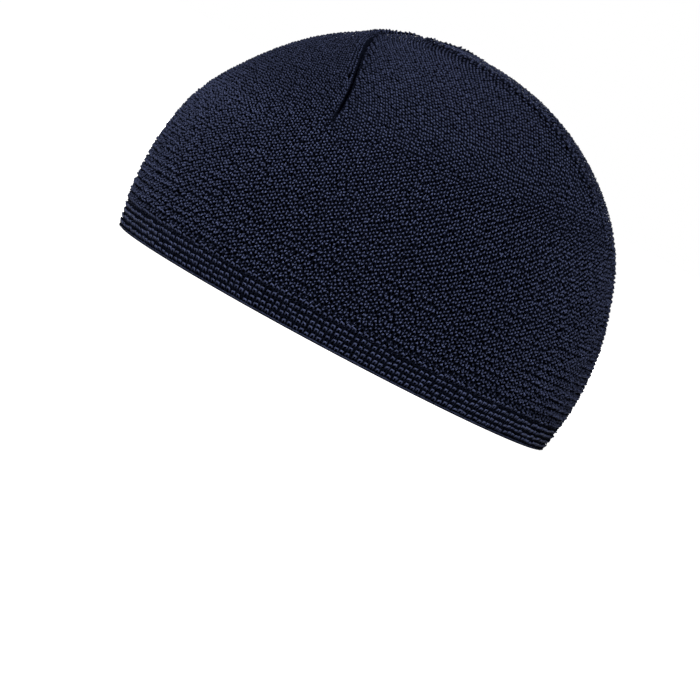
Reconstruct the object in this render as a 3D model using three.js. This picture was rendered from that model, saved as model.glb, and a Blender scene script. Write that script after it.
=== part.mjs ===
// A kufi: a close-fitting skull cap, one piece of ridged knit with four sewn darts in its crown.
// Millimetres, +Z up. The rim lies in the plane z = 0 with its centre at the origin.
// The forehead side is towards -X, the back of the head towards +X, the wearer's left towards -Y.

import * as THREE from 'three';

// Driving sizes of the cap
const CAP_LENGTH = 208;       // outside, front to back, at the widest ring
const CAP_WIDTH = 168;        // outside, side to side, at the widest ring
const CAP_HEIGHT = 132.5;     // rim to the top of the dome
const WALL = 3;               // thickness of the knit
const BELLY_HEIGHT = 30;      // height of the widest ring
const RIM_DRAW_IN = 3;        // how far the rim lies inside the widest ring, on every side
const RIM_ROUND = 1;          // rounding of the rim's outer and inner edge
const DOME_FULLNESS = 2.03;   // 2 makes the dome elliptical, more makes its shoulders fuller
const CROWN_FORWARD = 25;     // how far the seams meet in front of the middle
const DOME_SET_BACK = 2.6;    // how far the top of the dome leans towards the back of the head
const SET_BACK_START = 60;    // height where that lean begins
const SET_BACK_END = 100;     // height where it is complete

// Knitted ribs that run round the wall from the rim to the widest ring
const RIB_PITCH = 3.2;
const RIB_DEPTH = 0.5;

// Darts: sewn folds that take in the crown and meet in a pinwheel
const DART_LENGTH = 105;      // along the knit, from where the seams meet to a dart's tip
const DART_FADE = 18;         // length over which a dart dies out at its tip
const DART_LIP_WIDTH = 4;     // width of the raised lip beside a seam
const DART_LIP_HEIGHT = 1.3;
const DART_CROWN_FADE = 8;    // distance from the seams' meeting point within which the lips die out
const DART_ROOM = 0.7;        // the most of a panel's angle that a dart's section may take up
const PINWHEEL_TURN = 86;     // degrees that the seams turn where they meet
const PINWHEEL_REACH = 26;    // distance from their meeting point over which that turn fades

// One row for each dart: its direction round the crown, and its share of the full length and lip
const DARTS = [
  { place: 'right', direction: 72, length: 1.0, lip: 1.0 },
  { place: 'front', direction: 158, length: 1.0, lip: 1.0 },
  { place: 'left', direction: 246, length: 1.0, lip: 1.0 },
  { place: 'back', direction: 342, length: 0.9, lip: 0.8 },
];

// Section across a dart: distance from the seam in lip widths, rise in lip heights
const DART_SECTION = [
  { across: -3.5, rise: 0.0 },
  { across: -1.8, rise: 0.3 },
  { across: -0.9, rise: 1.0 },
  { across: -0.35, rise: 0.8 },
  { across: 0.0, rise: -0.6 },
  { across: 0.45, rise: -0.3 },
  { across: 1.3, rise: 0.0 },
];

// Fineness of the shell
const COLUMNS_BETWEEN_DARTS = 14;
const OUTER_DOME_ROWS = 22;
const INNER_DOME_ROWS = 12;
const CROWN_ROW_CROWDING = 1.15;   // above 1 draws the rows closer together at the crown

const RIGHT_ANGLE = Math.PI / 2;
const FULL_TURN = Math.PI * 2;
const radians = THREE.MathUtils.degToRad;

// The outer skin has inset 0 and the inner skin has inset WALL
function skin(inset) {
  return {
    halfLength: CAP_LENGTH / 2 - inset,
    halfWidth: CAP_WIDTH / 2 - inset,
    domeRise: CAP_HEIGHT - BELLY_HEIGHT - inset,
  };
}

// A point of the wall, below the widest ring, drawn in by dent
function wallPoint(form, angle, height, dent) {
  const below = (BELLY_HEIGHT - height) / BELLY_HEIGHT;
  const drawIn = RIM_DRAW_IN * below * below + dent;
  const x = (form.halfLength - drawIn) * Math.cos(angle);
  const y = (form.halfWidth - drawIn) * Math.sin(angle);
  return new THREE.Vector3(x, y, height);
}

// The angle by which a row of the dome is turned towards the forehead: none at the widest ring
function rowTilt(form, polar) {
  const fullTilt = Math.asin(CROWN_FORWARD / form.halfLength);
  return fullTilt * Math.cos(polar) ** 2;
}

// A point of the dome and the direction straight out of it there.
// polar is 0 where the seams meet and a right angle at the widest ring
function domePoint(form, angle, polar) {
  const level = Math.cos(polar);
  const spread = Math.sin(polar);
  const tilt = rowTilt(form, polar);
  const alongX = spread * Math.cos(angle) * Math.cos(tilt) - level * Math.sin(tilt);
  const alongY = spread * Math.sin(angle);
  const alongZ = spread * Math.cos(angle) * Math.sin(tilt) + level * Math.cos(tilt);

  const reach = Math.hypot(alongX, alongY);
  const sum = reach ** DOME_FULLNESS + Math.abs(alongZ) ** DOME_FULLNESS;
  const fullness = sum ** (-1 / DOME_FULLNESS);
  const height = BELLY_HEIGHT + form.domeRise * fullness * alongZ;
  const lean = DOME_SET_BACK * THREE.MathUtils.smoothstep(height, SET_BACK_START, SET_BACK_END);
  const point = new THREE.Vector3(
    form.halfLength * fullness * alongX + lean,
    form.halfWidth * fullness * alongY,
    height,
  );

  const sideSlope = reach ** (DOME_FULLNESS - 2);
  const outwards = new THREE.Vector3(
    (sideSlope * alongX) / form.halfLength,
    (sideSlope * alongY) / form.halfWidth,
    (Math.sign(alongZ) * Math.abs(alongZ) ** (DOME_FULLNESS - 1)) / form.domeRise,
  );
  return { point, outwards: outwards.normalize() };
}

// Mean distance along the knit from the meeting point of the seams to a row of the dome
function distanceFromCrown(polar) {
  const domeRise = CAP_HEIGHT - BELLY_HEIGHT;
  const meanRadius = (CAP_LENGTH / 2 + CAP_WIDTH / 2 + domeRise) / 3;
  return polar * meanRadius;
}

// Radius of a row, taken as a circle
function rowRadius(polar) {
  const meanRadius = (CAP_LENGTH / 2 + CAP_WIDTH / 2) / 2;
  return Math.sin(polar) * meanRadius;
}

// The turn of the pinwheel at a row
function pinwheelTurn(polar) {
  return radians(PINWHEEL_TURN) * Math.exp(-distanceFromCrown(polar) / PINWHEEL_REACH);
}

// How strong a dart is at a row: none past its tip, and none where the seams meet
function dartStrength(dart, polar) {
  const distance = distanceFromCrown(polar);
  const tip = DART_LENGTH * dart.length;
  const atTip = 1 - THREE.MathUtils.smoothstep(distance, tip - DART_FADE, tip);
  const atCrown = THREE.MathUtils.smoothstep(distance, 0, DART_CROWN_FADE);
  return dart.lip * atTip * atCrown;
}

// The columns of one row: those of each dart's section, then those that fill the panel after it.
// Near the crown the sections narrow, so that they never reach their neighbours
function columnsOfRow(polar) {
  const first = DART_SECTION[0].across;
  const last = DART_SECTION[DART_SECTION.length - 1].across;
  const room = (FULL_TURN / DARTS.length) * DART_ROOM;
  const lipAngle = Math.min(DART_LIP_WIDTH / rowRadius(polar), room / (last - first));
  const columns = [];
  DARTS.forEach((dart, index) => {
    const seam = radians(dart.direction);
    for (const place of DART_SECTION) {
      columns.push({ angle: seam + place.across * lipAngle, rise: place.rise * dartStrength(dart, polar) });
    }
    const next = DARTS[(index + 1) % DARTS.length];
    const turn = next.direction > dart.direction ? 0 : FULL_TURN;
    const start = seam + last * lipAngle;
    const end = radians(next.direction) + turn + first * lipAngle;
    for (let step = 1; step <= COLUMNS_BETWEEN_DARTS; step += 1) {
      const share = step / (COLUMNS_BETWEEN_DARTS + 1);
      columns.push({ angle: start + (end - start) * share, rise: 0 });
    }
  });
  return columns;
}

// A ring of the wall
function wallRing(form, height, dent) {
  const columns = columnsOfRow(RIGHT_ANGLE);
  return columns.map((column) => wallPoint(form, column.angle, height, dent));
}

// A ring of the dome, with the lips and creases of the darts raised by lipHeight
function domeRing(form, polar, lipHeight) {
  const turn = pinwheelTurn(polar) - pinwheelTurn(RIGHT_ANGLE);
  return columnsOfRow(polar).map((column) => {
    const { point, outwards } = domePoint(form, column.angle - turn, polar);
    return point.addScaledVector(outwards, column.rise * lipHeight);
  });
}

// Polar angles of the dome's rows, from the crown down, without the crown itself
function domeRows(count) {
  const rows = [];
  for (let row = 1; row <= count; row += 1) {
    rows.push(RIGHT_ANGLE * (row / count) ** CROWN_ROW_CROWDING);
  }
  return rows;
}

// The ribbed outside of the wall, from the widest ring down to the rim
function outerWallRings(form) {
  const ribs = Math.round((BELLY_HEIGHT - RIM_ROUND) / RIB_PITCH);
  const pitch = (BELLY_HEIGHT - RIM_ROUND) / ribs;
  const rings = [];
  for (let rib = ribs - 1; rib >= 0; rib -= 1) {
    const fade = 1 - (rib / ribs) ** 2;
    rings.push(wallRing(form, RIM_ROUND + (rib + 0.5) * pitch, RIB_DEPTH * fade));
    rings.push(wallRing(form, RIM_ROUND + rib * pitch, 0));
  }
  rings.push(wallRing(form, 0, RIM_ROUND));
  return rings;
}

// The plain inside of the wall, from the rim up
function innerWallRings(form) {
  return [
    wallRing(form, 0, -RIM_ROUND),
    wallRing(form, RIM_ROUND, 0),
    wallRing(form, BELLY_HEIGHT / 2, 0),
  ];
}

// One closed surface through a chain of rings with a single point at each end
function closeRings(startPoint, rings, endPoint) {
  const count = rings[0].length;
  const points = [startPoint, ...rings.flat(), endPoint];
  const positions = points.flatMap((point) => point.toArray());
  const faces = [];
  const at = (ring, column) => 1 + ring * count + (column % count);
  for (let column = 0; column < count; column += 1) {
    faces.push(0, at(0, column), at(0, column + 1));
    for (let ring = 0; ring < rings.length - 1; ring += 1) {
      faces.push(at(ring, column), at(ring + 1, column), at(ring + 1, column + 1));
      faces.push(at(ring, column), at(ring + 1, column + 1), at(ring, column + 1));
    }
    faces.push(at(rings.length - 1, column), points.length - 1, at(rings.length - 1, column + 1));
  }
  const geometry = new THREE.BufferGeometry();
  geometry.setAttribute('position', new THREE.Float32BufferAttribute(positions, 3));
  geometry.setIndex(faces);
  geometry.computeVertexNormals();
  return geometry;
}

function knittedCap() {
  const outer = skin(0);
  const inner = skin(WALL);
  const outerDome = domeRows(OUTER_DOME_ROWS).map((polar) => domeRing(outer, polar, DART_LIP_HEIGHT));
  const innerDome = domeRows(INNER_DOME_ROWS).map((polar) => domeRing(inner, polar, 0));
  const rings = [...outerDome, ...outerWallRings(outer), ...innerWallRings(inner), ...innerDome.reverse()];
  const geometry = closeRings(domePoint(outer, 0, 0).point, rings, domePoint(inner, 0, 0).point);
  const yarn = new THREE.MeshStandardMaterial({ color: 0x1a1d2b, roughness: 0.65, metalness: 0 });
  const cap = new THREE.Mesh(geometry, yarn);
  cap.name = 'knitted_cap';
  return cap;
}

const kufi = new THREE.Group();
kufi.add(knittedCap());

export default kufi;
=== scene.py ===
# %% [markdown]
# # A knitted kufi
# A kufi is a close-fitting cap with no brim. This one is a single piece of knit: a navy nylon yarn runs
# round and round from the rim to the crown in rings of loops, called courses, and four sewn darts draw
# the crown in. The solid that comes with the frame is a smooth shell. It holds the size and the shape,
# and the yarn itself is made here, loop by loop, along a formula for the same shape.

# %% Load the solid shell as a fixed frame
import math
import bpy
import numpy as np
from mathutils import Matrix, Vector


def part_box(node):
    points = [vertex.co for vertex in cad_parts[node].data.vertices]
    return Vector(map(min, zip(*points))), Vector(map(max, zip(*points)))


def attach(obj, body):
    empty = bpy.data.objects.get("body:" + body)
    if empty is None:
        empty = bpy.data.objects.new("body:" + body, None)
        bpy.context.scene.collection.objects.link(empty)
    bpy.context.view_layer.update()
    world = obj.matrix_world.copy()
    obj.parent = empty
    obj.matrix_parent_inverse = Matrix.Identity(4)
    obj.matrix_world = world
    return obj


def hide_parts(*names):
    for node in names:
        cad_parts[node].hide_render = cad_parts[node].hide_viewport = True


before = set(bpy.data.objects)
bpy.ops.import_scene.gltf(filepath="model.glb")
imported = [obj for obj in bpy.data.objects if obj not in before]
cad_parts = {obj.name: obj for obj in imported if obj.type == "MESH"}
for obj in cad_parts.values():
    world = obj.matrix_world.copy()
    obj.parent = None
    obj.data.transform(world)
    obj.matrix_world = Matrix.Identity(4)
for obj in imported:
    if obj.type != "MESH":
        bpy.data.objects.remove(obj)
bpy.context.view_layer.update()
shell_low, shell_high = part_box("knitted_cap")
print("shell", [round(high - low, 4) for low, high in zip(shell_low, shell_high)])

# %% [markdown]
# ## The shape that the yarn follows
# The cap is an oval wall that widens a little above the rim, with a dome on it. The loops could be laid
# on the shell's own faces, but those are flat facets, so a formula for the same shape takes their place.
# In it a place has two numbers: how far along the knit it lies from the rim, and its angle round the cap.
# The length and width come from the frame, and the other sizes are those of the shell, in metres.

# %% Sizes of the cap
MM = 0.001
HALF_LENGTH = (shell_high[0] - shell_low[0]) / 2
HALF_WIDTH = (shell_high[1] - shell_low[1]) / 2
CAP_HEIGHT = 132.5 * MM
BELLY_HEIGHT = 30 * MM
RIM_DRAW_IN = 3 * MM
DOME_FULLNESS = 2.03
CROWN_FORWARD = 25 * MM
DOME_SET_BACK = 2.6 * MM
SET_BACK_START = 60 * MM
SET_BACK_END = 100 * MM
DOME_RISE = CAP_HEIGHT - BELLY_HEIGHT
MEAN_RADIUS = (HALF_LENGTH + HALF_WIDTH + DOME_RISE) / 3
DOME_LENGTH = MEAN_RADIUS * math.pi / 2
KNIT_LENGTH = BELLY_HEIGHT + DOME_LENGTH
print("dome", round(DOME_RISE / MM, 1), "mm high, on a wall of", round(BELLY_HEIGHT / MM, 1), "mm")

# %% Sizes of the darts
DART_LENGTH = 105 * MM
DART_FADE = 18 * MM
DART_LIP_WIDTH = 4 * MM
DART_LIP_HEIGHT = 1.3 * MM
DART_CROWN_FADE = 8 * MM
DART_ROOM = 0.7
PINWHEEL_TURN = math.radians(86)
PINWHEEL_REACH = 26 * MM
DARTS = [
    {"place": "right", "direction": 72, "length": 1.0, "lip": 1.0},
    {"place": "front", "direction": 158, "length": 1.0, "lip": 1.0},
    {"place": "left", "direction": 246, "length": 1.0, "lip": 1.0},
    {"place": "back", "direction": 342, "length": 0.9, "lip": 0.8},
]
# The section across a dart: places in lip widths from the seam, and the rise there in lip heights.
SECTION_ACROSS = [-3.5, -1.8, -0.9, -0.35, 0.0, 0.45, 1.3]
SECTION_RISE = [0.0, 0.3, 1.0, 0.8, -0.6, -0.3, 0.0]
print("darts", [(dart["place"], dart["direction"]) for dart in DARTS])


# %% The formula of the cap's outer skin
def smoothstep(value, start, end):
    """0 before the start, 1 after the end, and a smooth rise between them."""
    share = np.clip((value - start) / (end - start), 0, 1)
    return share * share * (3 - 2 * share)


def pinwheel_turn(polar):
    """How far a row is turned, so that the seams meet in a pinwheel."""
    return PINWHEEL_TURN * np.exp(-polar * MEAN_RADIUS / PINWHEEL_REACH)


def polar_of(along):
    """Angle from the seams' meeting point, for a distance along the knit from the rim."""
    return np.clip((KNIT_LENGTH - along) / MEAN_RADIUS, 0, math.pi / 2)


def wall_point(angle, along):
    """A place on the oval wall, which draws in towards the rim."""
    below = np.clip((BELLY_HEIGHT - along) / BELLY_HEIGHT, 0, None)
    draw_in = RIM_DRAW_IN * below**2
    x = (HALF_LENGTH - draw_in) * np.cos(angle)
    y = (HALF_WIDTH - draw_in) * np.sin(angle)
    return np.stack(np.broadcast_arrays(x, y, along), axis=-1)


def dome_point(angle, along):
    """A place on the dome, whose rows tilt forward and turn on the way to the crown."""
    polar = polar_of(along)
    turned = angle - pinwheel_turn(polar) + pinwheel_turn(math.pi / 2)
    tilt = math.asin(CROWN_FORWARD / HALF_LENGTH) * np.cos(polar) ** 2
    level, spread = np.cos(polar), np.sin(polar)
    nx = spread * np.cos(turned) * np.cos(tilt) - level * np.sin(tilt)
    ny = spread * np.sin(turned)
    nz = spread * np.cos(turned) * np.sin(tilt) + level * np.cos(tilt)
    reach = np.hypot(nx, ny)
    fullness = (reach**DOME_FULLNESS + np.abs(nz) ** DOME_FULLNESS) ** (-1 / DOME_FULLNESS)
    height = BELLY_HEIGHT + DOME_RISE * fullness * nz
    lean = DOME_SET_BACK * smoothstep(height, SET_BACK_START, SET_BACK_END)
    x = HALF_LENGTH * fullness * nx + lean
    y = HALF_WIDTH * fullness * ny
    return np.stack(np.broadcast_arrays(x, y, height), axis=-1)


def dart_rise(angle, along):
    """How far the darts' lips and creases lift the skin or sink it."""
    polar = polar_of(along)
    distance = polar * MEAN_RADIUS
    row_radius = np.sin(polar) * (HALF_LENGTH + HALF_WIDTH) / 2
    span = SECTION_ACROSS[-1] - SECTION_ACROSS[0]
    room = 2 * math.pi / len(DARTS) * DART_ROOM
    lip_angle = np.minimum(DART_LIP_WIDTH / np.maximum(row_radius, MM), room / span)
    rise = 0
    for dart in DARTS:
        tip = DART_LENGTH * dart["length"]
        strength = 1 - smoothstep(distance, tip - DART_FADE, tip)
        strength = strength * smoothstep(distance, 0, DART_CROWN_FADE) * dart["lip"]
        off = angle - math.radians(dart["direction"])
        off = (off + math.pi) % (2 * math.pi) - math.pi
        rise = rise + strength * np.interp(off / lip_angle, SECTION_ACROSS, SECTION_RISE)
    return rise * DART_LIP_HEIGHT


def plain_skin(angle, along):
    """A place on the outer skin, without the darts."""
    angle, along = np.broadcast_arrays(np.asarray(angle, float), np.asarray(along, float))
    on_wall = (along < BELLY_HEIGHT)[..., None]
    return np.where(on_wall, wall_point(angle, along), dome_point(angle, along))


def outwards(angle, along):
    """Unit vectors straight out of the skin, from its slopes."""
    step = 0.2 * MM
    turn = step / HALF_WIDTH
    along = np.clip(along, None, KNIT_LENGTH - 2 * step)
    round_the_cap = plain_skin(angle + turn, along) - plain_skin(angle - turn, along)
    up_the_cap = plain_skin(angle, along + step) - plain_skin(angle, along - step)
    normal = np.cross(round_the_cap, up_the_cap)
    return normal / np.linalg.norm(normal, axis=-1, keepdims=True)


def skin(angle, along, depth):
    """A place at a depth under the outer skin, lips and creases of the darts included."""
    lift = dart_rise(angle, along) - depth
    return plain_skin(angle, along) + outwards(angle, along) * np.asarray(lift)[..., None]


print("along the knit from rim to crown", round(KNIT_LENGTH / MM, 1), "mm")

# %% [markdown]
# ## Courses and wales
# A course is one ring of loops, and a wale is the column that loops make from course to course. Loops
# spread by angle, as on a globe, would grow narrow towards the crown, so they are counted off in real
# widths. The machine knits a straight tube, so a wale keeps its neighbours up to the darts. From there
# each panel between two seams narrows. Its wales run beside one straight wale, and end one by one at the
# seams. Beside a seam the knit stands up as a lip, and behind the lip a yarn crosses deep in the crease.

# %% Sizes of the knit
WALES = 216
COURSE_PITCH = 1.66 * MM
RIM_COURSE_PITCH = 1.2 * MM
RIM_COURSES = 10
RIM_EDGE = 0.6 * MM
LAST_RING_RADIUS = 2.5 * MM
SAMPLES = 300
LOOP_DEPTH_UNDER_SKIN = 1.1 * MM
# A loop's key is the number of its wale, plus this much for each panel.
PANEL_KEY = 1000


def course_places():
    """Distances of the courses along the knit: closer together in the rim's last ribs."""
    places = [RIM_EDGE]
    end = KNIT_LENGTH - LAST_RING_RADIUS
    while places[-1] < end:
        tight = len(places) < RIM_COURSES
        places.append(places[-1] + (RIM_COURSE_PITCH if tight else COURSE_PITCH))
    return places


def seam_angles():
    """The seams in turn, the first one again at the end, a full turn on."""
    seams = [math.radians(dart["direction"]) for dart in DARTS]
    return seams + [seams[0] + 2 * math.pi]


def panel_arc(panel, along):
    """Angles across a panel in a course, and the arc length from its start to each."""
    seams = seam_angles()
    angles = np.linspace(seams[panel], seams[panel + 1], SAMPLES)
    points = plain_skin(angles, along)
    steps = np.linalg.norm(np.diff(points, axis=0), axis=1)
    return angles, np.concatenate([[0], np.cumsum(steps)])


def wales_of_panels():
    """How the wales are shared between the panels, by their arcs at the widest ring."""
    arcs = [panel_arc(panel, BELLY_HEIGHT)[1][-1] for panel in range(len(DARTS))]
    return [round(WALES * arc / sum(arcs)) for arc in arcs]


PANEL_WALES = wales_of_panels()
COURSES = course_places()
TIP_ALONG = KNIT_LENGTH - DART_LENGTH
print(len(COURSES), "courses", PANEL_WALES, "wales")


# %% Place every loop
# Where the straight wale of each panel lies, as a share of the panel.
STRAIGHT_WALES = [0.03, 0.97, 0.25, 0.75]
SKEW_FADE = 30 * MM
# The room that a seam takes from the panels beside it, in wales, and where it opens and closes.
ROOM_AFTER_SEAM = 0.65
ROOM_BEFORE_SEAM = 0.1
ROOM_FADE = 12 * MM
ROOM_STARTS_CLOSING = KNIT_LENGTH - 36 * MM
ROOM_CLOSED = KNIT_LENGTH - 24 * MM
# The wale number of the yarn that crosses a seam.
CROSSING = 500
NARROWEST_WALE = 0.4
FEWEST_LOOPS = 4
LONGEST_RISE = 1.5 * COURSE_PITCH


def wale_edges(pitch, middle, start, end):
    """Edges of the wales from start to end, without slivers, and their numbers from the straight wale."""
    numbers = np.arange(math.floor(start / pitch - middle), math.ceil(end / pitch - middle))
    edges = np.clip((np.append(numbers, numbers[-1] + 1) + middle) * pitch, start, end)
    kept = np.diff(edges) > NARROWEST_WALE * pitch
    numbers = numbers[kept]
    edges = np.concatenate([[start], edges[:-1][kept][1:], [end]])
    if start > 0:
        numbers = np.concatenate([[CROSSING], numbers])
        edges = np.concatenate([[0], edges])
    return edges, numbers


def panel_loops(panel, along):
    """Angles, widths and keys of a panel's loops in one course."""
    angles, arcs = panel_arc(panel, along)
    wales = PANEL_WALES[panel]
    tip_angles, tip_arcs = panel_arc(panel, min(along, TIP_ALONG))
    pitch = tip_arcs[-1] / wales
    straight = np.interp(round(wales * STRAIGHT_WALES[panel]) * pitch, tip_arcs, tip_angles)
    fade = smoothstep(along, TIP_ALONG, TIP_ALONG + SKEW_FADE)
    skew = np.arctan((angles - straight) * np.cos(polar_of(along))) * fade
    packing = np.cos(skew)
    steps = np.diff(arcs) * (packing[1:] + packing[:-1]) / 2
    packed = np.concatenate([[0], np.cumsum(steps)])
    middle = np.interp(straight, angles, packed) / pitch
    seamed = smoothstep(along, TIP_ALONG, TIP_ALONG + ROOM_FADE)
    seamed = seamed * (1 - smoothstep(along, ROOM_STARTS_CLOSING, ROOM_CLOSED))
    start = pitch * ROOM_AFTER_SEAM * seamed
    end = packed[-1] - pitch * ROOM_BEFORE_SEAM * seamed
    edges, numbers = wale_edges(pitch, middle, start, end)
    centres = (edges[1:] + edges[:-1]) / 2
    widths = np.diff(edges) / np.interp(centres, packed, packing)
    return np.interp(centres, packed, angles), widths, panel * PANEL_KEY + numbers


def course_loops(along):
    """The loops of a whole course, panel after panel."""
    panels = [panel_loops(panel, along) for panel in range(len(DARTS))]
    return [np.concatenate(parts) for parts in zip(*panels)]


def straight_up(row):
    """A course pitch towards the crown, square to the course."""
    vectors = np.cross(row["out"], row["across"])
    return vectors / np.linalg.norm(vectors, axis=1, keepdims=True) * COURSE_PITCH


def rises(row, above):
    """From each loop to the loop above it in its wale, or straight up where its wale has ended."""
    places = {key: index for index, key in enumerate(above["keys"])}
    vectors = straight_up(row)
    for index, key in enumerate(row["keys"]):
        if key in places:
            vectors[index] = above["points"][places[key]] - row["points"][index]
    vectors -= row["out"] * np.sum(vectors * row["out"], axis=1, keepdims=True)
    lengths = np.linalg.norm(vectors, axis=1, keepdims=True)
    return vectors * np.minimum(1, LONGEST_RISE / lengths)


def knit_row(along):
    """The loops of one course: places, and the widths and directions of their own little frames."""
    angles, widths, keys = course_loops(along)
    turn = MM / HALF_WIDTH
    ahead = skin(angles + turn, along, LOOP_DEPTH_UNDER_SKIN)
    behind = skin(angles - turn, along, LOOP_DEPTH_UNDER_SKIN)
    tangents = (ahead - behind) / np.linalg.norm(ahead - behind, axis=1, keepdims=True)
    return {
        "along": along,
        "keys": keys,
        "points": skin(angles, along, LOOP_DEPTH_UNDER_SKIN),
        "out": outwards(angles, along),
        "across": tangents * widths[:, None],
    }


def knit_table():
    """All the courses in turn, each loop with the way to the one above it."""
    rows = [knit_row(along) for along in COURSES]
    rows = [row for row in rows if len(row["keys"]) >= FEWEST_LOOPS]
    for row, above in zip(rows, rows[1:]):
        row["up"] = rises(row, above)
    rows[-1]["up"] = straight_up(rows[-1])
    return rows


KNIT = knit_table()
LOOP_COUNT = sum(len(row["keys"]) for row in KNIT)
print(LOOP_COUNT, "loops")

# %% [markdown]
# ## The stitches
# Near the rim the two beds of the machine knit in turn, and every second course stands out as a rib of
# small arches. Higher up only one bed knits, with heads and feet outwards, which gives a face of small
# round bumps. Its courses still lie in pairs at first, and make faint ridges that fade up the wall. On the
# crown the knit is drawn thin, so that its bumps are flatter and slant. The first course is a thicker yarn
# that runs straight round the rim. A bump map could draw all this, but the outline would stay smooth, so
# each stitch is a bend of the yarn itself.

# %% Choose the stitch of every loop
# Places along the knit where the ribs, the ridges and the crown's stitches start and end.
RIB_START = 9 * MM
RIB_END = 16 * MM
RIDGES_GONE = 60 * MM
CROWN_START = 70 * MM
CROWN_END = 100 * MM
# How far the yarn stands out or sinks, in loop depths. The same values set the painted shade in the yarn's
# colour, which is darker the deeper the yarn lies.
RIB_HEADS = 0.62
RIB_FEET = -0.05
RIB_LIFT = 0.15
RIB_BASE = 0.05
EDGE_LIFT = 0.35
CROWN_SINK = -0.32
CROSSING_SINK = 1.8
# The shape of a loop: swells in wales, tilt and pairing in courses, and pinches in radians.
SWELL = 0.14
CROWN_SWELL = 0.16
CROWN_TILT = -0.6
PAIRING = 0.13
PINCH = 0.3
CROWN_PINCH = -0.2
# Thickness and relief, as shares of those on the wall.
RIB_GIRTH = 1.15
EDGE_GIRTH = 1.35
CROWN_GIRTH = 0.64
CROWN_RELIEF = 0.8
# Unevenness of the loops, as shares of a wale, a course, a loop's height and its relief.
LOOSE_ACROSS = 0.05
LOOSE_UP = 0.1
LOOSE_HEIGHT = 0.12
LOOSE_RELIEF = 0.2
RIB_LOOSENESS = 1.2
CROWN_LOOSENESS = 0.8
LARGEST_DRAW = 2
STITCH_SEED = 11
# The points of yarn in a loop, and the phase of the first one in a round bump and in an arch.
POINTS_PER_LOOP = 6
STEP_OF_PHASE = 2 * math.pi / POINTS_PER_LOOP
BUMP_START = STEP_OF_PHASE - math.pi
ARCH_START = STEP_OF_PHASE / 2 - math.pi
stitch_draws = np.random.default_rng(STITCH_SEED)


def loosen(row, amount):
    """Hand-like unevenness: each loop's place, height and relief differ a little."""
    draws = stitch_draws.normal(size=(4, len(row["keys"]), 1))
    draws = amount * np.clip(draws, -LARGEST_DRAW, LARGEST_DRAW)
    row["points"] = row["points"] + row["across"] * draws[0] * LOOSE_ACROSS
    row["points"] = row["points"] + row["up"] * draws[1] * LOOSE_UP
    row["up"] = row["up"] * (1 + LOOSE_HEIGHT * draws[2])
    row["out"] = row["out"] * (1 + LOOSE_RELIEF * draws[3])


def sink_crossings(row):
    """The yarn that crosses a seam lies straight, deep in the crease."""
    crossing = row["keys"] % PANEL_KEY == CROSSING
    row["lift"] = row["lift"] - CROSSING_SINK * crossing
    row["up"] = row["up"] * (1 - crossing[:, None])


def set_stitches():
    """Arches in ribs near the rim, round bumps on the wall, and slanting ones on the crown."""
    for index, row in enumerate(KNIT):
        ribbed = 1 - smoothstep(row["along"], RIB_START, RIB_END)
        crown = smoothstep(row["along"], CROWN_START, CROWN_END)
        ridged = 1 - smoothstep(row["along"], RIB_END, RIDGES_GONE)
        parity = 1 if index % 2 else -1
        row["points"] = row["points"] + row["up"] * parity * PAIRING * ridged * (1 - ribbed)
        row["garter"] = ribbed * (RIB_HEADS if index % 2 else RIB_FEET)
        row["lift"] = parity * RIB_LIFT * ridged + CROWN_SINK * crown + RIB_BASE * ribbed
        row["face"] = 1 - ribbed
        row["tilt"] = CROWN_TILT * crown
        row["pinch"] = PINCH * row["face"] + (CROWN_PINCH - PINCH) * crown
        row["swell"] = SWELL + (CROWN_SWELL - SWELL) * crown
        row["start"] = BUMP_START + (ARCH_START - BUMP_START) * ribbed
        row["girth"] = 1 + (CROWN_GIRTH - 1) * crown + (RIB_GIRTH - 1) * ribbed
        looseness = 1 + (CROWN_LOOSENESS - 1) * crown + (RIB_LOOSENESS - 1) * ribbed
        loosen(row, looseness if index else 0)
        sink_crossings(row)
        row["out"] = row["out"] * (1 + (CROWN_RELIEF - 1) * crown)
        row["course"] = index


def set_edge(row):
    """The cast-on edge: a thicker yarn that runs straight round the rim."""
    row["up"] = row["up"] * 0
    row["garter"] = 0.0
    row["lift"] = EDGE_LIFT
    row["girth"] = EDGE_GIRTH


set_stitches()
set_edge(KNIT[0])
print("ribs end", RIB_END / MM, "mm above the rim, the crown starts at", CROWN_START / MM, "mm")

# %% [markdown]
# ## One tree of nodes for all the loops
# Each loop is a point with the vectors of its own little frame. The tree makes six points of yarn from
# each, strings the points of a course on one closed curve, and gives the curve its thickness. Doing this
# with nodes keeps the loop's shape in a few named inputs, and the same tree knits every band. LOOP_SUMS is
# the formula of a loop: a name, an operation and its two parts in each row. Phase runs along the loop, level
# is its height, and proud is how far the yarn stands out.


# %% A helper for nodes
def add_node(tree, kind, settings=None, inputs=None):
    """Adds a node. An input is a value, an output, or a node, which stands for its first output."""
    node = tree.nodes.new(kind)
    for name, value in (settings or {}).items():
        setattr(node, name, value)
    for name, value in (inputs or {}).items():
        if isinstance(value, bpy.types.Node):
            value = value.outputs[0]
        if isinstance(value, bpy.types.NodeSocket):
            tree.links.new(value, node.inputs[name])
        else:
            node.inputs[name].default_value = value
    return node


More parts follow.
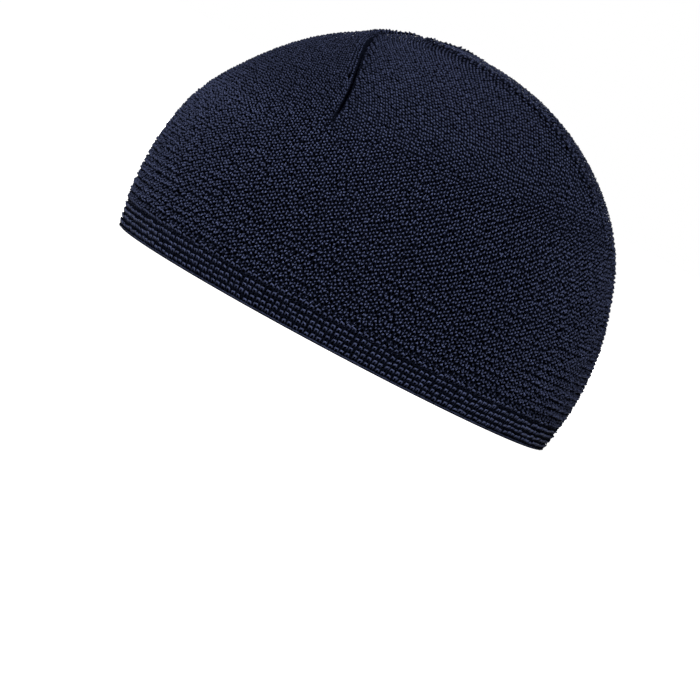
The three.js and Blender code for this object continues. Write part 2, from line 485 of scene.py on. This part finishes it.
# %% The tree of the knit
YARN_SIDES = 4
TREE_INPUTS = {
    "Geometry": "NodeSocketGeometry",
    "Loop height": "NodeSocketFloat",
    "Loop depth": "NodeSocketFloat",
    "Yarn radius": "NodeSocketFloat",
    "Bead": "NodeSocketFloat",
    "Looseness": "NodeSocketFloat",
    "Seed": "NodeSocketInt",
    "Yarn": "NodeSocketMaterial",
}
LOOP_FIELDS = {
    "across": "FLOAT_VECTOR",
    "up": "FLOAT_VECTOR",
    "out": "FLOAT_VECTOR",
    "garter": "FLOAT",
    "face": "FLOAT",
    "swell": "FLOAT",
    "lift": "FLOAT",
    "tilt": "FLOAT",
    "pinch": "FLOAT",
    "start": "FLOAT",
    "girth": "FLOAT",
    "course": "INT",
}
LOOP_SUMS = [
    ("turn", "MULTIPLY", "copy", STEP_OF_PHASE),
    ("even", "ADD", "turn", "start"),
    ("even double", "MULTIPLY", "even", 2.0),
    ("bend", "SINE", "even double", 0.0),
    ("shift", "MULTIPLY", "bend", "pinch"),
    ("phase", "ADD", "even", "shift"),
    ("double", "MULTIPLY", "phase", 2.0),
    ("level", "COSINE", "phase", 0.0),
    ("wave", "SINE", "double", 0.0),
    ("crest", "COSINE", "double", 0.0),
    ("sway", "MULTIPLY", "wave", "swell"),
    ("run", "MULTIPLY", "phase", 1 / (2 * math.pi)),
    ("sideways", "ADD", "run", "sway"),
    ("slant", "MULTIPLY", "wave", "tilt"),
    ("upright", "MULTIPLY", "level", "Loop height"),
    ("upwards", "ADD", "upright", "slant"),
    ("rib", "MULTIPLY", "level", "garter"),
    ("bump", "MULTIPLY", "crest", "face"),
    ("raised", "ADD", "rib", "lift"),
    ("proud", "ADD", "raised", "bump"),
    ("outwards", "MULTIPLY", "proud", "Loop depth"),
    ("more", "MULTIPLY", "proud", "Bead"),
    ("growth", "ADD", "more", 1.0),
    ("thickness", "MULTIPLY", "growth", "girth"),
]


def loop_values(tree, given, copies):
    """Reads the fields of every loop, and works out the sums that bend its yarn."""
    values = {name: given[name] for name in ("Loop height", "Loop depth", "Bead")}
    values["copy"] = copies.outputs["Duplicate Index"]
    for name, kind in LOOP_FIELDS.items():
        settings = {"data_type": kind}
        values[name] = add_node(tree, "GeometryNodeInputNamedAttribute", settings, {"Name": name})
    for name, operation, first, second in LOOP_SUMS:
        parts = {0: values.get(first, first), 1: values.get(second, second)}
        values[name] = add_node(tree, "ShaderNodeMath", {"operation": operation}, parts)
    return values


def loop_offset(tree, given, values):
    """The way from the middle of a loop to each of its points, a little loose."""
    offset = add_node(
        tree,
        "FunctionNodeRandomValue",
        {"data_type": "FLOAT_VECTOR"},
        {0: (-1, -1, -1), 1: (1, 1, 1), "Seed": given["Seed"]},
    )
    scaled = {"operation": "SCALE"}
    offset = add_node(tree, "ShaderNodeVectorMath", scaled, {0: offset, "Scale": given["Looseness"]})
    for direction, amount in (("across", "sideways"), ("up", "upwards"), ("out", "outwards")):
        part = add_node(
            tree, "ShaderNodeVectorMath", scaled, {0: values[direction], "Scale": values[amount]}
        )
        offset = add_node(tree, "ShaderNodeVectorMath", {"operation": "ADD"}, {0: offset, 1: part})
    return offset


def yarn_section(tree, given):
    """The section of the yarn. It keeps the place on it, round which the twist winds."""
    section = add_node(
        tree, "GeometryNodeCurvePrimitiveCircle", {}, {"Resolution": YARN_SIDES, "Radius": 1.0}
    )
    section = add_node(
        tree,
        "GeometryNodeStoreNamedAttribute",
        {"data_type": "FLOAT_VECTOR", "domain": "POINT"},
        {"Geometry": section, "Name": "round_yarn", "Value": add_node(tree, "GeometryNodeInputPosition")},
    )
    radius = add_node(tree, "ShaderNodeCombineXYZ", {}, {i: given["Yarn radius"] for i in range(3)})
    return add_node(tree, "GeometryNodeTransform", {}, {"Geometry": section, "Scale": radius})


def knit_tree():
    """One point for each loop goes in, and a closed yarn for each course comes out."""
    tree = bpy.data.node_groups.new("loops_of_yarn", "GeometryNodeTree")
    for name, kind in TREE_INPUTS.items():
        tree.interface.new_socket(name, in_out="INPUT", socket_type=kind)
    tree.interface.new_socket("Geometry", in_out="OUTPUT", socket_type="NodeSocketGeometry")
    given = add_node(tree, "NodeGroupInput").outputs

    points = add_node(tree, "GeometryNodeMeshToPoints", {}, {"Mesh": given["Geometry"]})
    copies = add_node(
        tree,
        "GeometryNodeDuplicateElements",
        {"domain": "POINT"},
        {"Geometry": points, "Amount": POINTS_PER_LOOP},
    )
    values = loop_values(tree, given, copies)
    offset = loop_offset(tree, given, values)
    yarn_points = add_node(tree, "GeometryNodeSetPosition", {}, {"Geometry": copies, "Offset": offset})
    # proud goes to the yarn's material, which paints shade with it, and thickness sets the curve's radius.
    for name in ("proud", "thickness"):
        yarn_points = add_node(
            tree,
            "GeometryNodeStoreNamedAttribute",
            {"data_type": "FLOAT", "domain": "POINT"},
            {"Geometry": yarn_points, "Name": name, "Value": values[name]},
        )
    strung = add_node(
        tree,
        "GeometryNodePointsToCurves",
        {},
        {
            "Points": yarn_points,
            "Curve Group ID": values["course"],
            "Weight": add_node(tree, "GeometryNodeInputIndex"),
        },
    )
    closed = add_node(tree, "GeometryNodeSetSplineCyclic", {}, {"Geometry": strung, "Cyclic": True})
    measured = add_node(
        tree,
        "GeometryNodeStoreNamedAttribute",
        {"data_type": "FLOAT", "domain": "POINT"},
        {
            "Geometry": closed,
            "Name": "along_yarn",
            "Value": add_node(tree, "GeometryNodeSplineParameter").outputs["Length"],
        },
    )
    thickness = add_node(
        tree, "GeometryNodeInputNamedAttribute", {"data_type": "FLOAT"}, {"Name": "thickness"}
    )
    curve = add_node(tree, "GeometryNodeSetCurveRadius", {}, {"Curve": measured, "Radius": thickness})
    section = yarn_section(tree, given)
    thick = add_node(tree, "GeometryNodeCurveToMesh", {}, {"Curve": curve, "Profile Curve": section})
    smooth = add_node(tree, "GeometryNodeSetShadeSmooth", {}, {"Geometry": thick})
    real = add_node(tree, "GeometryNodeRealizeInstances", {}, {"Geometry": smooth})
    dyed = add_node(
        tree, "GeometryNodeSetMaterial", {}, {"Geometry": real, "Material": given["Yarn"]}
    )
    add_node(tree, "NodeGroupOutput", {}, {"Geometry": dyed})
    return tree


KNIT_TREE = knit_tree()
print("tree", KNIT_TREE.name, len(KNIT_TREE.nodes), "nodes")

# %% [markdown]
# ## The yarn
# The yarn is nylon, spun from fine filaments and twisted from two plies, then dyed navy through and
# through. It is smoother and glossier than wool, so each loop carries a small soft light. Its colour holds
# painted shade: it is a paler navy where it stands proud and near black deep in the knit. The plies could
# be two thin curves, but each is only about a pixel wide in the picture, so a bump that winds round one
# yarn stands for both. The twist and the uneven dye are drawn at their real size.


# %% Colours
def linear(hex_colour):
    """An sRGB hex colour as the linear colour that shaders take."""
    channels = [int(hex_colour[i : i + 2], 16) / 255 for i in (1, 3, 5)]
    return tuple(c / 12.92 if c <= 0.04045 else ((c + 0.055) / 1.055) ** 2.4 for c in channels) + (1,)


# %% The yarn's material
# Lit and shaded copies of the navy, mixed by how proud the yarn stands: painted shade, near black, below the
# first bound, and a paler lit navy above the second.
NAVY_PAINTED_LIT = "#4C5372"
NAVY_PAINTED_SHADE = "#000002"
FULL_PAINTED_SHADE_BELOW = 0.15
NO_PAINTED_SHADE_ABOVE = 0.95
DYE_PATCH = 3 * MM
DYE_DETAIL = 3.0
DYE_LEAST = 0.1
DYE_MOST = 1.9
TWIST_PITCH = 1.4 * MM
TWIST_RELIEF = 0.06 * MM
NYLON_IOR = 1.53
GLINT_LEVEL = 0.35
GLINT_TINT = "#9CADE8"
YARN_ROUGHNESS = 0.34
DEEP_ROUGHNESS = 1.0
GLOSSY_ABOVE = 0.7


def nylon_yarn():
    """Navy nylon with painted shade that turns it near black deep in the knit, duller there, with its twist
    as a bump.
    """
    material = bpy.data.materials.new("spun_nylon_yarn_dyed_navy")
    material.use_nodes = True
    tree = material.node_tree
    shader = tree.nodes["Principled BSDF"]
    shader.inputs["IOR"].default_value = NYLON_IOR
    shader.inputs["Specular IOR Level"].default_value = GLINT_LEVEL
    shader.inputs["Specular Tint"].default_value = linear(GLINT_TINT)

    proud = add_node(tree, "ShaderNodeAttribute", {"attribute_name": "proud"}).outputs["Fac"]
    # Painted shade: the deeper the yarn lies, the nearer its colour comes to black.
    height = add_node(
        tree, "ShaderNodeMapRange", {}, {"Value": proud, "From Min": FULL_PAINTED_SHADE_BELOW, "From Max": NO_PAINTED_SHADE_ABOVE}
    )
    place = add_node(tree, "ShaderNodeTexCoord").outputs["Object"]
    dye = add_node(
        tree,
        "ShaderNodeTexNoise",
        {},
        {"Vector": place, "Scale": 1 / DYE_PATCH, "Detail": DYE_DETAIL},
    )
    dye = add_node(
        tree, "ShaderNodeMapRange", {}, {"Value": dye, "To Min": DYE_LEAST, "To Max": DYE_MOST}
    )
    colour = add_node(
        tree,
        "ShaderNodeMix",
        {"data_type": "RGBA"},
        {0: height, 6: linear(NAVY_PAINTED_SHADE), 7: linear(NAVY_PAINTED_LIT)},
    )
    colour = add_node(
        tree, "ShaderNodeVectorMath", {"operation": "SCALE"}, {0: colour.outputs[2], "Scale": dye}
    )
    tree.links.new(colour.outputs[0], shader.inputs["Base Color"])
    gloss = add_node(
        tree,
        "ShaderNodeMapRange",
        {},
        {
            "Value": proud,
            "From Min": 0.0,
            "From Max": GLOSSY_ABOVE,
            "To Min": DEEP_ROUGHNESS,
            "To Max": YARN_ROUGHNESS,
        },
    )
    tree.links.new(gloss.outputs[0], shader.inputs["Roughness"])

    along = add_node(tree, "ShaderNodeAttribute", {"attribute_name": "along_yarn"}).outputs["Fac"]
    around = add_node(tree, "ShaderNodeAttribute", {"attribute_name": "round_yarn"}).outputs["Vector"]
    turn = add_node(
        tree, "ShaderNodeMath", {"operation": "MULTIPLY"}, {0: along, 1: 2 * math.pi / TWIST_PITCH}
    )
    cosine = add_node(tree, "ShaderNodeMath", {"operation": "COSINE"}, {0: turn})
    sine = add_node(tree, "ShaderNodeMath", {"operation": "SINE"}, {0: turn})
    heading = add_node(tree, "ShaderNodeCombineXYZ", {}, {"X": cosine, "Y": sine})
    ply = add_node(tree, "ShaderNodeVectorMath", {"operation": "DOT_PRODUCT"}, {0: heading, 1: around})
    ply = add_node(tree, "ShaderNodeMath", {"operation": "ABSOLUTE"}, {0: ply.outputs["Value"]})
    bump = add_node(tree, "ShaderNodeBump", {}, {"Height": ply, "Distance": TWIST_RELIEF})
    tree.links.new(bump.outputs[0], shader.inputs["Normal"])
    return material


YARN = nylon_yarn()
print("material", YARN.name)


# %% Knit the bands
LOOP_SHAPE = {
    "Loop height": 0.9,
    "Loop depth": 0.78 * MM,
    "Yarn radius": 0.39 * MM,
    "Bead": 0.25,
    "Looseness": 0.16 * MM,
    "Seed": 4,
    "Yarn": YARN,
}
BANDS = ["rim_ribs", "lower_wall", "upper_wall", "dome_shoulder", "crown"]


def points_mesh(name, rows):
    """A mesh of bare points, one for each loop, with the loops' fields as attributes."""
    mesh = bpy.data.meshes.new(name)
    points = np.concatenate([row["points"] for row in rows])
    mesh.from_pydata(points.tolist(), [], [])
    for field, kind in LOOP_FIELDS.items():
        layer = mesh.attributes.new(field, kind, "POINT").data
        if kind == "FLOAT_VECTOR":
            layer.foreach_set("vector", np.concatenate([row[field] for row in rows]).ravel())
        else:
            values = [np.full(len(row["keys"]), row[field]) for row in rows]
            layer.foreach_set("value", np.concatenate(values))
    return mesh


def set_inputs(modifier, values):
    """Sets the inputs of a modifier by their identifiers, which its keys are."""
    for item in modifier.node_group.interface.items_tree:
        if item.in_out == "INPUT" and item.name in values:
            modifier[item.identifier] = values[item.name]


def keep_piece(name, mesh):
    """Makes a mesh a piece of the cap, which stands for the plain shell."""
    piece = bpy.data.objects.new(name, mesh)
    bpy.context.scene.collection.objects.link(piece)
    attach(piece, "root")
    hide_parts("knitted_cap")
    print(name, sum(len(face.vertices) - 2 for face in mesh.polygons), "triangles")


def knit_band(name, rows, shape):
    """Runs the tree on the courses of a band and keeps the result as a plain mesh."""
    points = bpy.data.objects.new(name + "_points", points_mesh(name + "_points", rows))
    bpy.context.scene.collection.objects.link(points)
    modifier = points.modifiers.new("loops", "NODES")
    modifier.node_group = KNIT_TREE
    set_inputs(modifier, shape)
    evaluated = points.evaluated_get(bpy.context.evaluated_depsgraph_get())
    mesh = bpy.data.meshes.new_from_object(evaluated)
    bpy.data.objects.remove(points)
    mesh.name = name
    keep_piece(name, mesh)


def split_bands():
    """Shares the courses out so that every band has about as many loops."""
    bands = {name: [] for name in BANDS}
    share = LOOP_COUNT / len(BANDS)
    done = 0
    for row in KNIT:
        bands[BANDS[min(int(done / share), len(BANDS) - 1)]].append(row)
        done += len(row["keys"])
    return bands


for band_name, band_rows in split_bands().items():
    knit_band(band_name, band_rows, LOOP_SHAPE)

# %% [markdown]
# ## The seams of the darts
# Each dart is linked on the machine with a chain of the same yarn. The chain lies in the crease, a little
# off its middle, and shows as a thin dark line, partly real shade in the crease and partly painted shade,
# since it lies deep enough for the yarn's colour to go near black. A plain cord could stand for it, but the
# tree of the knit already makes a chain: a course of small loops that runs down one side and up the other.

# %% Link the darts
SEAM_PITCH = 1.5 * MM
SEAM_OFF = 0.6 * MM
SEAM_HALF_GAP = 0.6 * MM
SEAM_WIDTH = 1.0 * MM
SEAM_DEPTH = 0.8 * MM
SEAM_TOP = 26 * MM
SEAM_SHORT_OF_TIP = DART_FADE / 3
CHAIN_HEIGHT = 0.5
# The chain's low lift also keeps its colour near black, as painted shade.
CHAIN_STITCH = {
    "garter": 0.5,
    "lift": -0.25,
    "face": 0.0,
    "swell": 0.1,
    "tilt": 0.0,
    "pinch": 0.0,
    "start": BUMP_START,
    "girth": 1.0,
}


def seam_row(dart):
    """The chain of one dart as a closed course."""
    angle = math.radians(dart["direction"])
    bottom = KNIT_LENGTH - DART_LENGTH * dart["length"] + SEAM_SHORT_OF_TIP
    top = KNIT_LENGTH - SEAM_TOP
    count = round((top - bottom) / SEAM_PITCH)
    down = np.linspace(top, bottom, count)
    places = np.concatenate([down, down[::-1]])
    side = np.concatenate([np.full(count, 1.0), np.full(count, -1.0)])
    turn = MM / HALF_WIDTH
    centre = skin(angle, places, SEAM_DEPTH)
    round_cap = skin(angle + turn, places, SEAM_DEPTH) - skin(angle - turn, places, SEAM_DEPTH)
    round_cap /= np.linalg.norm(round_cap, axis=1, keepdims=True)
    up_cap = plain_skin(angle, places + MM) - plain_skin(angle, places - MM)
    up_cap /= np.linalg.norm(up_cap, axis=1, keepdims=True)
    return {
        "keys": np.arange(2 * count),
        "points": centre + round_cap * (SEAM_OFF + side[:, None] * SEAM_HALF_GAP),
        "out": outwards(angle, places),
        "across": -up_cap * side[:, None] * SEAM_PITCH,
        "up": round_cap * side[:, None] * SEAM_WIDTH,
        "course": dart["direction"],
        **CHAIN_STITCH,
    }


CHAIN_SHAPE = {**LOOP_SHAPE, "Loop height": CHAIN_HEIGHT}
knit_band("dart_seams", [seam_row(dart) for dart in DARTS], CHAIN_SHAPE)

# %% [markdown]
# ## The back of the knit
# The loops lie so close that little light comes through them. A thin closed layer behind them stands for
# the yarn that crosses there, which would be too fine to model. It lies closer to the loops at the rim, so
# that no floor shows between the two, and on the crown, where the yarn is thinner. Both of its faces carry
# rows of small bumps, one for each loop, with painted shade in the hollows between them. The outside is
# painted almost black, as painted shade for the shade of the loops, and the inside is the purl face of the
# knit.

# %% The layer behind the loops
CORE_DEPTH = 2.45 * MM
CORE_CROWN_DEPTH = 2.05 * MM
CORE_RIM_DEPTH = 1.75 * MM
CORE_RIM_FADE = 6 * MM
CORE_THICKNESS = 0.5 * MM
CORE_COLUMNS = 144
CORE_ROWS = 72
CORE_START = -0.25 * MM
CORE_END = KNIT_LENGTH - 1 * MM
# Each pair runs from painted shade between the bumps to the colour on their tops. The outside's pair is near
# black all over: painted shade for the shade of the loops.
SHADED_NAVY = ("#000001", "#020208")
INSIDE_NAVY = ("#05060C", "#262B40")
INSIDE_ROUGHNESS = 0.8
INSIDE_RELIEF = 0.4 * MM


def purl_face(name, colours):
    """Rows of small yarn bumps, one for each loop, drawn in relief and in colour, with painted shade that
    darkens the colour between the bumps.
    """
    material = bpy.data.materials.new(name)
    material.use_nodes = True
    tree = material.node_tree
    shader = tree.nodes["Principled BSDF"]
    shader.inputs["Roughness"].default_value = INSIDE_ROUGHNESS
    shader.inputs["Specular IOR Level"].default_value = 0.0
    place = add_node(tree, "ShaderNodeUVMap", {"uv_map": "knit"})
    scaled = {"operation": "SCALE"}
    turned = add_node(tree, "ShaderNodeVectorMath", scaled, {0: place, "Scale": 2 * math.pi})
    waves = add_node(tree, "ShaderNodeVectorMath", {"operation": "SINE"}, {0: turned})
    waves = add_node(tree, "ShaderNodeSeparateXYZ", {}, {0: waves})
    product = {0: waves.outputs["X"], 1: waves.outputs["Y"]}
    bump = add_node(tree, "ShaderNodeMath", {"operation": "MULTIPLY"}, product)
    share = add_node(tree, "ShaderNodeMapRange", {}, {"Value": bump, "From Min": -1.0})
    # Painted shade: the colour darkens from the tops of the bumps into the hollows between them.
    ends = {0: share, 6: linear(colours[0]), 7: linear(colours[1])}
    colour = add_node(tree, "ShaderNodeMix", {"data_type": "RGBA"}, ends)
    tree.links.new(colour.outputs[2], shader.inputs["Base Color"])
    relief = add_node(tree, "ShaderNodeBump", {}, {"Height": share, "Distance": INSIDE_RELIEF})
    tree.links.new(relief.outputs[0], shader.inputs["Normal"])
    return material


def ring_faces(first, second):
    """Faces between two rings of vertices, given by the number of each ring's first vertex."""
    faces = []
    for column in range(CORE_COLUMNS):
        after = (column + 1) % CORE_COLUMNS
        faces.append((first + column, first + after, second + after, second + column))
    return faces


def map_knit(mesh, places):
    """A map that counts wales across and courses up, so that the pattern has its real size."""
    wales = WALES / CORE_COLUMNS
    courses = np.concatenate([places, places[::-1]])[:, 0] / COURSE_PITCH
    layer = mesh.uv_layers.new(name="knit").data
    for face in mesh.polygons:
        columns = [vertex % CORE_COLUMNS for vertex in face.vertices]
        wraps = max(columns) - min(columns) == CORE_COLUMNS - 1 and len(columns) == 4
        for corner, vertex, column in zip(face.loop_indices, face.vertices, columns):
            turn = CORE_COLUMNS if wraps and column == 0 else 0
            layer[corner].uv = ((column + turn) * wales, courses[vertex // CORE_COLUMNS])


def core_layer():
    """An outer and an inner skin of rings, joined at the rim, and each closed on top."""
    angles = np.linspace(0, 2 * math.pi, CORE_COLUMNS, endpoint=False)
    places = np.linspace(CORE_START, CORE_END, CORE_ROWS)[:, None]
    depths = CORE_DEPTH + (CORE_CROWN_DEPTH - CORE_DEPTH) * smoothstep(places, CROWN_START, CROWN_END)
    depths = depths + (CORE_RIM_DEPTH - CORE_DEPTH) * (1 - smoothstep(places, 0, CORE_RIM_FADE))
    outer = skin(angles[None, :], places, depths - CORE_THICKNESS / 2)
    inner = skin(angles[None, :], places[::-1], depths[::-1] + CORE_THICKNESS / 2)
    rings = np.concatenate([outer, inner]).reshape(-1, 3)
    faces = []
    starts = [CORE_COLUMNS * row for row in range(2 * CORE_ROWS)]
    for row in range(2 * CORE_ROWS):
        if row != CORE_ROWS - 1:
            faces += ring_faces(starts[row], starts[(row + 1) % len(starts)])
    top, under = starts[CORE_ROWS - 1], starts[CORE_ROWS]
    faces.append(tuple(under + column for column in reversed(range(CORE_COLUMNS))))
    faces.append(tuple(top + column for column in range(CORE_COLUMNS)))
    outside = CORE_COLUMNS * (CORE_ROWS - 1)
    sides = [0] * outside + [1] * (len(faces) - outside - 1) + [0]
    mesh = bpy.data.meshes.new("back_of_the_knit")
    mesh.from_pydata(rings.tolist(), [], faces)
    map_knit(mesh, places)
    mesh.materials.append(purl_face("nylon_yarn_in_the_shade_of_the_loops", SHADED_NAVY))
    mesh.materials.append(purl_face("nylon_yarn_purl_face_inside", INSIDE_NAVY))
    mesh.polygons.foreach_set("use_smooth", [True] * len(faces))
    mesh.polygons.foreach_set("material_index", sides)
    keep_piece("back_of_the_knit", mesh)


core_layer()

# %% [markdown]
# ## Floor, light and camera
# A plain white floor and a white room. Both look white to the camera and give only a weak light, so that
# the navy stays deep. One soft light from above the camera draws out the loops, and a weaker one keeps the
# far side from going black. The camera looks at the left side of the cap from a little above, and is
# rolled so that the rim runs down to the right.

# %% Floor
FLOOR_SIZE = 60
FLOOR_COLOUR = "#E8E8E8"
FLOOR_FILL = 0.02
FLOOR_SEEN = 1.0
BACKDROP_STRENGTH = 1.0
FILL_STRENGTH = 0.02


def camera_only(tree, fill, seen):
    """A strength that the camera sees as one value and everything else as another."""
    looked_at = add_node(tree, "ShaderNodeLightPath").outputs["Is Camera Ray"]
    return add_node(
        tree, "ShaderNodeMapRange", {}, {"Value": looked_at, "To Min": fill, "To Max": seen}
    )


def floor():
    """A white sheet that the cap stands on."""
    mesh = bpy.data.meshes.new("floor")
    half = FLOOR_SIZE / 2
    corners = [(-half, -half, 0), (half, -half, 0), (half, half, 0), (-half, half, 0)]
    mesh.from_pydata(corners, [], [(0, 1, 2, 3)])
    material = bpy.data.materials.new("matt_white_paper")
    material.use_nodes = True
    tree = material.node_tree
    shader = tree.nodes["Principled BSDF"]
    shader.inputs["Base Color"].default_value = linear(FLOOR_COLOUR)
    shader.inputs["Roughness"].default_value = 1
    shader.inputs["Specular IOR Level"].default_value = 0
    shader.inputs["Emission Color"].default_value = (1, 1, 1, 1)
    glow = camera_only(tree, FLOOR_FILL, FLOOR_SEEN)
    tree.links.new(glow.outputs[0], shader.inputs["Emission Strength"])
    mesh.materials.append(material)
    sheet = bpy.data.objects.new("floor", mesh)
    bpy.context.scene.collection.objects.link(sheet)


floor()
print("floor", FLOOR_SIZE, "m square")


# %% World and lights
KEY_LIGHT = {"direction": (-0.14, -1.0, 0.62), "distance": 1.6, "size": 0.35, "watts": 27}
BACK_LIGHT = {"direction": (0.1, 1.0, 0.2), "distance": 1.6, "size": 0.6, "watts": 14}


def light_the_room():
    """A world that looks white and gives only a weak light."""
    world = bpy.data.worlds.new("white_room")
    bpy.context.scene.world = world
    world.use_nodes = True
    tree = world.node_tree
    background = tree.nodes["Background"]
    background.inputs["Color"].default_value = (1, 1, 1, 1)
    strength = camera_only(tree, FILL_STRENGTH, BACKDROP_STRENGTH)
    tree.links.new(strength.outputs[0], background.inputs["Strength"])


def soft_box(name, direction, distance, size, watts):
    """A square area light that looks at the cap."""
    data = bpy.data.lights.new(name, "AREA")
    data.shape = "SQUARE"
    data.size = size
    data.energy = watts
    light = bpy.data.objects.new(name, data)
    bpy.context.scene.collection.objects.link(light)
    towards = Vector(direction).normalized()
    light.location = towards * distance + Vector((0, 0, CAP_HEIGHT / 2))
    light.rotation_mode = "QUATERNION"
    light.rotation_quaternion = towards.to_track_quat("Z", "Y")


light_the_room()
soft_box("key", **KEY_LIGHT)
soft_box("back_fill", **BACK_LIGHT)
bpy.context.scene.view_settings.view_transform = "Standard"
print("key light", KEY_LIGHT["watts"], "W, back light", BACK_LIGHT["watts"], "W")

# %% Camera
CAMERA_DISTANCE = 1.5
CAMERA_ELEVATION = math.radians(3.8)
CAMERA_ROLL = math.radians(28.08)
SENSOR_WIDTH = 36
PHOTO_WIDTH = 700
WIDEST_PIXELS = 495
RIM_CENTRE_PIXEL = (330.75, 337.25)


def place_camera():
    """A long lens, aimed so that the cap lies in the picture where it lies in the photo."""
    pixel = 2 * HALF_LENGTH / WIDEST_PIXELS
    forward = np.array([0, math.cos(CAMERA_ELEVATION), -math.sin(CAMERA_ELEVATION)])
    level_up = np.array([0, math.sin(CAMERA_ELEVATION), math.cos(CAMERA_ELEVATION)])
    level_right = np.array([1.0, 0, 0])
    right = math.cos(CAMERA_ROLL) * level_right + math.sin(CAMERA_ROLL) * level_up
    up = -math.sin(CAMERA_ROLL) * level_right + math.cos(CAMERA_ROLL) * level_up
    aim_right = (PHOTO_WIDTH / 2 - RIM_CENTRE_PIXEL[0]) * pixel
    aim_down = (PHOTO_WIDTH / 2 - RIM_CENTRE_PIXEL[1]) * pixel
    aim = right * aim_right - up * aim_down
    data = bpy.data.cameras.new("camera")
    data.sensor_width = SENSOR_WIDTH
    data.lens = SENSOR_WIDTH * CAMERA_DISTANCE / (PHOTO_WIDTH * pixel)
    camera = bpy.data.objects.new("camera", data)
    bpy.context.scene.collection.objects.link(camera)
    place = aim - forward * CAMERA_DISTANCE
    axes = Matrix([
        (right[0], up[0], -forward[0], place[0]),
        (right[1], up[1], -forward[1], place[1]),
        (right[2], up[2], -forward[2], place[2]),
        (0, 0, 0, 1),
    ])
    camera.matrix_world = axes
    bpy.context.scene.camera = camera


place_camera()
print("lens", round(bpy.context.scene.camera.data.lens, 1), "mm, at", CAMERA_DISTANCE, "m")
